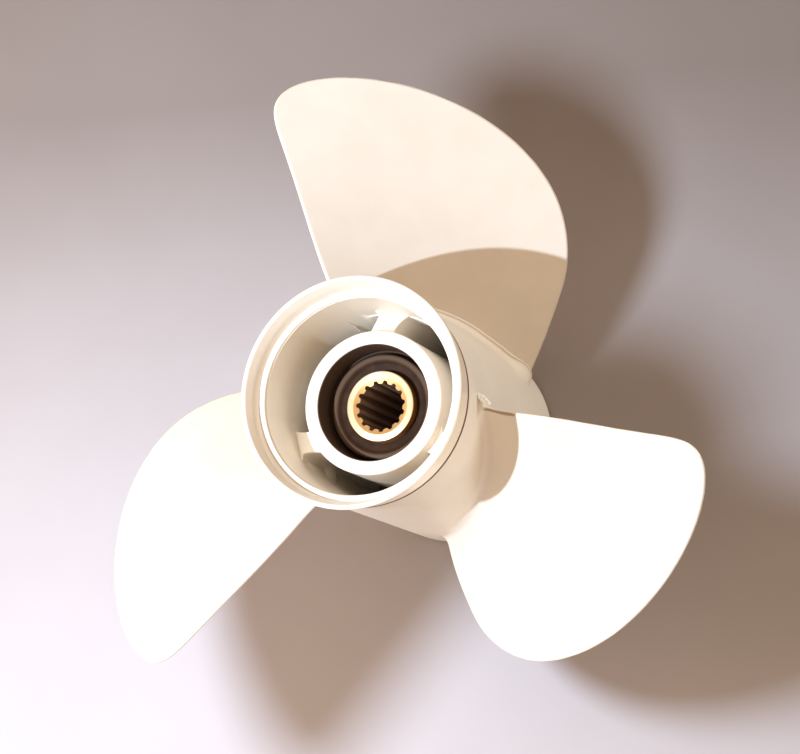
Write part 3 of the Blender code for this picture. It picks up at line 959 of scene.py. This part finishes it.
def casting_lump(name, steps=96, rings=48):
    """An ellipsoid whose skin is rippled by sines and sunk at the pits by Gaussians."""
    lon = np.linspace(0, 2 * math.pi, steps, endpoint=False)[None, :]
    lat = np.linspace(-math.pi / 2, math.pi / 2, rings + 1)[:, None]
    along = np.cos(lat) * np.cos(lon)
    across = np.cos(lat) * np.sin(lon)
    up = np.sin(lat) + 0 * lon
    ripple = 1
    for wave_along, wave_across, phase in LUMP_WAVES:
        ripple = ripple * np.sin(along * wave_along + across * wave_across + phase)
    scale = 1 + LUMP_RIPPLE * ripple * np.cos(lat)
    for pit_along, pit_across in LUMP_PITS:
        off = (along - pit_along) ** 2 + (LUMP_PIT_STRETCH * (across - pit_across)) ** 2
        sink = LUMP_PIT_DEPTH * np.exp(-2 * off / LUMP_PIT_SIZE ** 2)
        scale = scale - sink * np.sqrt(np.clip(up, 0, 1))
    out, side, high = (half * part * scale for half, part in zip(LUMP_HALVES, (along, across, up)))
    turned_out = out * math.cos(LUMP_TURN) - side * math.sin(LUMP_TURN)
    turned_side = out * math.sin(LUMP_TURN) + side * math.cos(LUMP_TURN)
    outward = np.array((math.cos(LUMP_ANGLE), math.sin(LUMP_ANGLE), 0))
    sideways = np.array((-math.sin(LUMP_ANGLE), math.cos(LUMP_ANGLE), 0))
    upward = np.array((0, 0, 1))
    points = (
        LUMP_RADIUS * outward
        + LUMP_HEIGHT * upward
        + turned_out[..., None] * outward
        + turned_side[..., None] * sideways
        + high[..., None] * upward
    )
    return mesh_piece(name, points, close_columns=True)


lump = casting_lump("casting_lump")
lump_enamel = cast_enamel(
    "lump_enamel", grain=0.2, roughness=TRIM_ROUGHNESS, colours=LUMP_HIGHLIGHT_COLOURS
)
lump.data.materials.append(lump_enamel)
lit_by_panel.objects.link(lump)
lit_by_low_panel.objects.link(lump)
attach(lump, "root")


# Rubber bush
# Black rubber, moulded round the brass sleeve and pressed into the inner hub, where it slips if
# a blade strikes. A rounded lip stands up between a deep groove and a dished middle.
bush_low, bush_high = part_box("rubber_bush")
BUSH_TOP = bush_high[2]
BUSH_BOTTOM = bush_low[2]
# A thin skin of it lines the inner hub's bore, almost up to the face
LINING_TOP = INNER_TOP - 0.45 * MM
LINING_RADIUS = 28.7 * MM
SLEEVE_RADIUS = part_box("spline_sleeve")[1][0]
BUSH_BORE = SLEEVE_RADIUS - 0.2 * MM
BUSH_LIP_INNER = 23.2 * MM
BUSH_LIP_OUTER = 26.4 * MM
DISH_COLOURS = ((0.038, 0.018, 0.009), (0.062, 0.030, 0.015))
LINING_COLOUR = (0.080, 0.048, 0.032)
LINING_FADE = 0.5 * MM
BLOOM_COLOUR = (0.135, 0.082, 0.050)
# The bloom begins this far outside the lip's two edges, and is full this far inside them
BLOOM_OUTSIDE = 0.6 * MM
BLOOM_INSIDE = 1.2 * MM
# How far under the lip's top it begins, and is full
BLOOM_DEPTHS = (2.2 * MM, 0.2 * MM)
RUBBER_MOTTLE = 160
# Spacing, strength and depth of the turning marks
RUBBER_MARKS = (0.5 * MM, 0.15, 0.05 * MM)
RUBBER_ROUGHNESS = 0.65
RUBBER_SHINE = 0.15

bush = turned(
    "rubber_bush_moulded",
    rounded([
        (INNER_BORE, LINING_TOP, 0.1 * MM),
        (INNER_BORE, BUSH_BOTTOM, 0.5 * MM),
        (BUSH_BORE, BUSH_BOTTOM, 0.3 * MM),
        (BUSH_BORE, BUSH_TOP - 3.2 * MM, 0.2 * MM),
        (19.2 * MM, BUSH_TOP - 2.6 * MM, 1.0 * MM),
        (21.9 * MM, BUSH_TOP - 2.0 * MM, 2.4 * MM),
        (BUSH_LIP_INNER + 0.6 * MM, BUSH_TOP, 1.6 * MM),
        (BUSH_LIP_OUTER, BUSH_TOP, 1.1 * MM),
        (26.6 * MM, BUSH_TOP - 6.0 * MM, 0.5 * MM),
        (27.7 * MM, BUSH_TOP - 6.0 * MM, 0.4 * MM),
        (28.0 * MM, BUSH_TOP - 3.8 * MM, 0.3 * MM),
        (LINING_RADIUS, BUSH_TOP - 3.4 * MM, 0.3 * MM),
        (LINING_RADIUS, LINING_TOP, 0.15 * MM),
    ]),
)


def lathe_rings(material, radius, spacing, strength, depth):
    """A sine ripple round the axis, as a lathe leaves, in the surface's normal."""
    ripple = reckoned(material, "MULTIPLY", radius, 2 * math.pi / spacing)
    return raised(material, reckoned(material, "SINE", ripple), strength, depth)


def moulded_rubber(name):
    """Matt black rubber: a brown lining, a dusty bloom on the lip, and fine turning marks."""
    material, shader, place = new_material(name)
    link = material.node_tree.links.new
    radius = axis_radius(material, place)
    dish = mottled(material, place, RUBBER_MOTTLE, DISH_COLOURS)
    outside = share_between(material, radius, BUSH_LIP_OUTER, BUSH_LIP_OUTER + LINING_FADE)
    rubber = blended(material, outside, dish, LINING_COLOUR)
    lip_middle = (BUSH_LIP_INNER + BUSH_LIP_OUTER) / 2
    lip_half = (BUSH_LIP_OUTER - BUSH_LIP_INNER) / 2
    off = reckoned(material, "ABSOLUTE", reckoned(material, "SUBTRACT", radius, lip_middle))
    across = share_between(material, off, lip_half + BLOOM_OUTSIDE, lip_half - BLOOM_INSIDE)
    near = share_between(material, height_from(material, place, BUSH_TOP), *BLOOM_DEPTHS)
    on_lip = reckoned(material, "MULTIPLY", across, near)
    link(blended(material, on_lip, rubber, BLOOM_COLOUR), shader.inputs["Base Color"])
    link(lathe_rings(material, radius, *RUBBER_MARKS), shader.inputs["Normal"])
    shader.inputs["Roughness"].default_value = RUBBER_ROUGHNESS
    shader.inputs["Specular IOR Level"].default_value = RUBBER_SHINE
    return material


bush.data.materials.append(moulded_rubber("bush_rubber"))
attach(bush, "root")
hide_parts("rubber_bush")


# Splined sleeve
# A turned brass sleeve that the propeller shaft fits into. Its mouths are countersunk, and 15
# round-bottomed grooves are broached from end to end between flat-topped teeth.
sleeve_low, sleeve_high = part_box("spline_sleeve")
SLEEVE_TOP = sleeve_high[2]
SLEEVE_BOTTOM = sleeve_low[2]
SLEEVE_CHAMFER = 0.5 * MM
MOUTH_RADIUS = 14.2 * MM
MOUTH_EDGE = MOUTH_RADIUS + 0.15 * MM
MOUTH_SLOPE = 0.45
SPLINE_COUNT = 15
SPLINE_MAJOR_RADIUS = 12.95 * MM
SPLINE_MINOR_RADIUS = 11.45 * MM
SPLINE_FIRST_ANGLE = math.radians(93.3)
GROOVE_NARROWING = 0.16
GROOVE_STEEPNESS = 2.3
SLEEVE_SHARP_ANGLE = math.radians(35)
FACE_COLOURS = ((0.80, 0.64, 0.36), (0.84, 0.70, 0.42))
# Amber cones and orange-brown outer wall: painted shade on brass turned from the light
SHADED_CONE_COLOUR = (0.86, 0.50, 0.19)
SHADED_WALL_COLOUR = (0.72, 0.34, 0.09)
# Lighter crests and darker grooves in the bore: painted highlight and painted shade
LIT_CREST_COLOUR = (0.36, 0.24, 0.17)
SHADED_GROOVE_COLOUR = (0.21, 0.12, 0.075)
# Where each colour begins and is full: radii, and for the oily bore also a depth under the face
CONE_FADE = (MOUTH_RADIUS + 0.3 * MM, MOUTH_RADIUS - 0.1 * MM)
WALL_FADE = (SLEEVE_RADIUS - 0.3 * MM, SLEEVE_RADIUS)
CREST_FADE = (SPLINE_MAJOR_RADIUS - 0.4 * MM, SPLINE_MINOR_RADIUS + 0.3 * MM)
BORE_FADE = (MOUTH_RADIUS, MOUTH_RADIUS - 0.6 * MM)
OIL_DEPTHS = (1.2 * MM, 1.7 * MM)
BRASS_MOTTLE = 300
BRASS_MARKS = (0.18 * MM, 0.2, 0.03 * MM)
BRASS_ROUGHNESS = 0.36
FACE_METAL = 0.6
OILY_METAL = 0.1


def splined_sleeve(name, steps=SPLINE_COUNT * 48, rings=12, lengths=8):
    """The wall's outline, carried round the axis while the bore's radius follows the grooves.

    The radius swings between the teeth and the grooves as the hyperbolic tangent of a cosine, so
    both are rounded. The countersink is a cone, cut off wherever it meets the bore.
    """
    turn = np.linspace(0, 2 * math.pi, steps, endpoint=False)[:, None]
    swing = np.cos(SPLINE_COUNT * (turn - SPLINE_FIRST_ANGLE)) - GROOVE_NARROWING
    swing = np.tanh(GROOVE_STEEPNESS * swing)
    share = (swing - swing.min()) / (swing.max() - swing.min())
    bore = SPLINE_MINOR_RADIUS + (SPLINE_MAJOR_RADIUS - SPLINE_MINOR_RADIUS) * share

    chamfer = SLEEVE_CHAMFER
    cone = np.linspace(0, 1, rings)[None, :]
    cone_radius = MOUTH_RADIUS + (bore - MOUTH_RADIUS) * cone
    sunk = (MOUTH_RADIUS - cone_radius) * MOUTH_SLOPE
    wall = np.array([
        (SLEEVE_RADIUS, SLEEVE_BOTTOM + chamfer),
        (SLEEVE_RADIUS, SLEEVE_TOP - chamfer),
        (SLEEVE_RADIUS - 0.15 * chamfer, SLEEVE_TOP - 0.4 * chamfer),
        (SLEEVE_RADIUS - chamfer, SLEEVE_TOP),
        (SLEEVE_RADIUS - 1.2 * chamfer, SLEEVE_TOP),
        (MOUTH_EDGE, SLEEVE_TOP),
    ])
    foot = np.array([
        (MOUTH_EDGE, SLEEVE_BOTTOM),
        (SLEEVE_RADIUS - chamfer, SLEEVE_BOTTOM),
    ])
    down = np.linspace(0, 1, lengths)[None, 1:-1]
    bore_height = (SLEEVE_TOP - sunk[:, -1:]) * (1 - down) + (SLEEVE_BOTTOM + sunk[:, -1:]) * down
    radius = np.concatenate([
        wall[:, 0] + 0 * turn,
        cone_radius,
        bore + 0 * down,
        cone_radius[:, ::-1],
        foot[:, 0] + 0 * turn,
    ], axis=1)
    height = np.concatenate([
        wall[:, 1] + 0 * turn,
        SLEEVE_TOP - sunk,
        bore_height,
        SLEEVE_BOTTOM + sunk[:, ::-1],
        foot[:, 1] + 0 * turn,
    ], axis=1)
    points = place_polar(radius, turn, height)
    piece = mesh_piece(name, points, close_rows=True, close_columns=True)
    piece.data.set_sharp_from_angle(angle=SLEEVE_SHARP_ANGLE)
    return piece


def turned_brass(name):
    """Brass: a bright face with the lathe's rings, amber cones and an orange outer wall in painted
    shade, and an oily brown bore.

    The teeth's crests are painted lighter than the grooves between them, a painted highlight on the
    crests and painted shade in the grooves.
    """
    material, shader, place = new_material(name)
    link = material.node_tree.links.new
    radius = axis_radius(material, place)
    face = mottled(material, place, BRASS_MOTTLE, FACE_COLOURS)
    end = blended(material, share_between(material, radius, *CONE_FADE), face, SHADED_CONE_COLOUR)
    end = blended(material, share_between(material, radius, *WALL_FADE), end, SHADED_WALL_COLOUR)
    crest = share_between(material, radius, *CREST_FADE)
    bore = blended(material, crest, SHADED_GROOVE_COLOUR, LIT_CREST_COLOUR)
    half = (SLEEVE_TOP - SLEEVE_BOTTOM) / 2
    off = height_from(material, place, (SLEEVE_TOP + SLEEVE_BOTTOM) / 2)
    deep = share_between(material, off, half - OIL_DEPTHS[0], half - OIL_DEPTHS[1])
    inside = share_between(material, radius, *BORE_FADE)
    oily = reckoned(material, "MULTIPLY", inside, deep)
    link(blended(material, oily, end, bore), shader.inputs["Base Color"])
    link(lathe_rings(material, radius, *BRASS_MARKS), shader.inputs["Normal"])
    metal = {"Value": oily, "To Min": FACE_METAL, "To Max": OILY_METAL}
    metal = add_node(material, "ShaderNodeMapRange", metal).outputs["Result"]
    link(metal, shader.inputs["Metallic"])
    shader.inputs["Roughness"].default_value = BRASS_ROUGHNESS
    return material


sleeve = splined_sleeve("spline_sleeve_turned")
sleeve.data.materials.append(turned_brass("sleeve_brass"))
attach(sleeve, "root")
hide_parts("spline_sleeve")
